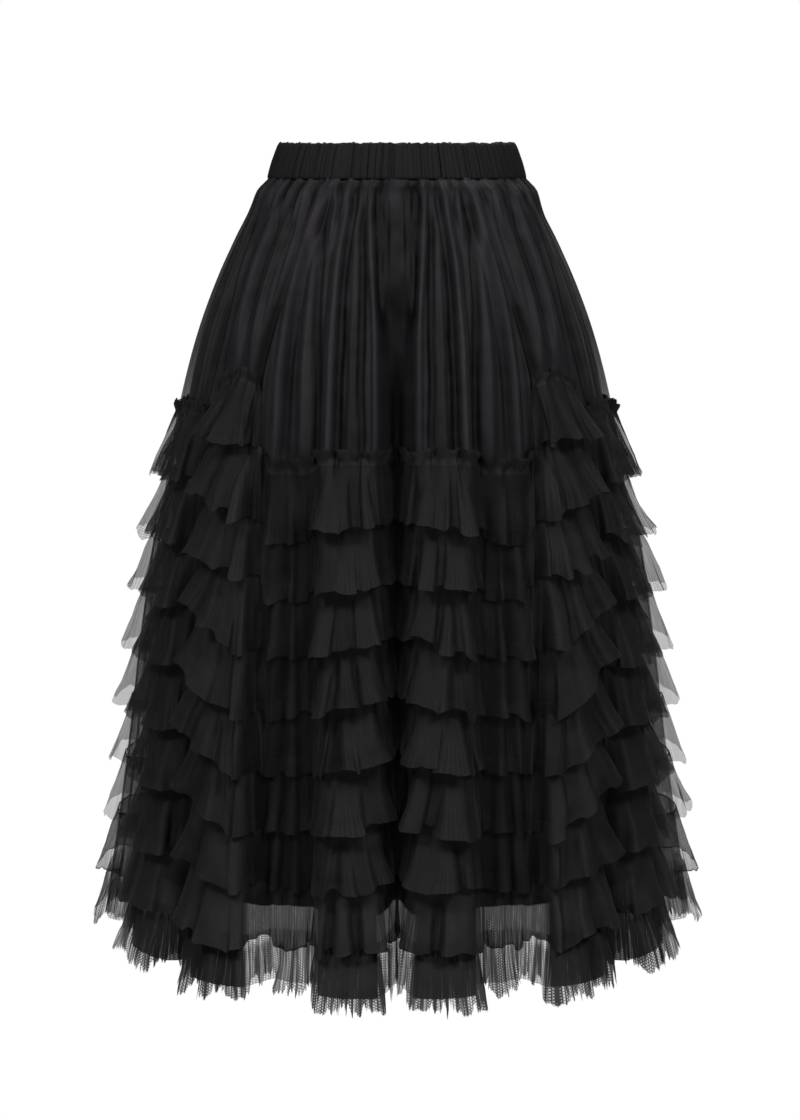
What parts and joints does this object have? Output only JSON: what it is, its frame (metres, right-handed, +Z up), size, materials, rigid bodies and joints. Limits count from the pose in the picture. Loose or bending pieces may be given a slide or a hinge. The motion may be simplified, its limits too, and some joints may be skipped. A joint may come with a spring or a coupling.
{
  "type": "tulle skirt",
  "caption": "Flared midi skirt of sheer black tulle with a gathered elastic waistband, tiered ruffles and a shorter plain lining.",
  "frame": {"origin": "middle of the waistband, on the skirt's upright axis, where the wearer's waist holds it", "axes": "+Z up along the skirt's axis, -Y towards the skirt's front, +X towards the wearer's left"},
  "size_m": [0.6236, 0.6113, 0.7759],
  "materials": {
    "casing": "matt woven casing gathered over elastic",
    "tulle": "fine sheer net with a dull sheen",
    "satin": "soft low-gloss satin weave"
  },
  "bodies": {
    "root": {"waistband": "casing", "overskirt_front": "tulle", "overskirt_back": "tulle", "lining_front": "satin", "lining_back": "satin", "ruffle_1": "tulle", "ruffle_2": "tulle", "ruffle_3": "tulle", "ruffle_4": "tulle", "ruffle_5": "tulle", "ruffle_6": "tulle", "ruffle_7": "tulle", "ruffle_8": "tulle", "ruffle_9": "tulle", "top_ruffle_right": "tulle", "top_ruffle_left": "tulle"}
  },
  "joints": []
}
